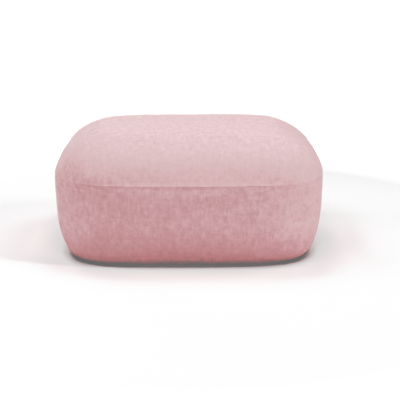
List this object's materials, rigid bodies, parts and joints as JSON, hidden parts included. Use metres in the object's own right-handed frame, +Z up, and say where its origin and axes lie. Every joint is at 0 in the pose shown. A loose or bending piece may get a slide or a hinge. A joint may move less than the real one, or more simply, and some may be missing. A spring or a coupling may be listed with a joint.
{
  "type": "upholstered footstool",
  "caption": "Low wide footstool with rounded edges, fully covered in soft cloth, with one level seam round its side and a flat underside.",
  "frame": {"origin": "middle of the flat underside, on the surface that the footstool stands on", "axes": "+X to the right along the long side, +Y from the front to the back, +Z up"},
  "size_m": [0.8398, 0.5998, 0.4],
  "materials": {
    "upper_cloth": "soft napped upholstery cloth, dusty pink, faintly slubbed",
    "lower_cloth": "the same dusty pink cloth, with its nap running down the side"
  },
  "bodies": {
    "root": {"upper_cover": "upper_cloth", "lower_cover": "lower_cloth"}
  },
  "joints": []
}
